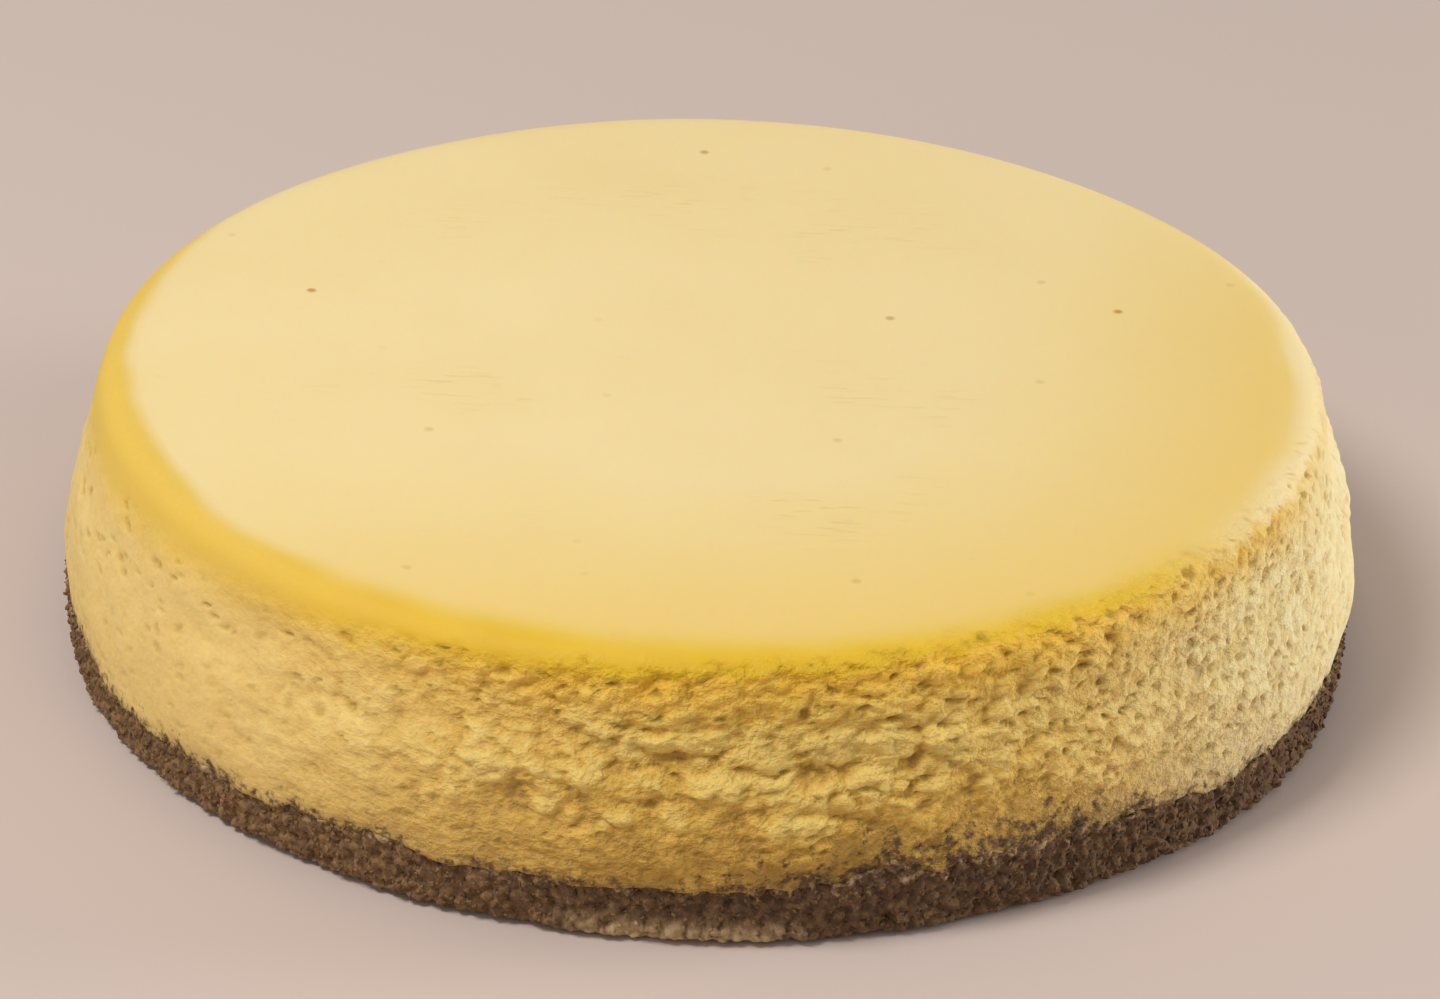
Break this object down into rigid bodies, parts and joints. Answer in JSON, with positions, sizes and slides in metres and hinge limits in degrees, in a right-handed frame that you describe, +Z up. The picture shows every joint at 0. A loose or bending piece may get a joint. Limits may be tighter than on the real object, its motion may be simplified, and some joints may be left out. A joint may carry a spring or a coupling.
{
  "type": "baked cheesecake",
  "caption": "Whole round baked cheesecake: a pale flat top over a rounded golden shoulder, a torn craggy filling wall and a dark biscuit crumb base, with no dish.",
  "frame": {"origin": "centre of the underside, where the cake rests", "axes": "+Z up through the cake's middle; the pictured side faces -Y"},
  "size_m": [0.2288, 0.2316, 0.0501],
  "materials": {
    "filling": "satin baked skin on top, matte torn curd at the side",
    "crumb": "matte pressed biscuit crumb"
  },
  "bodies": {
    "root": {"cheese_filling": "filling", "crumb_base": "crumb"}
  },
  "joints": []
}
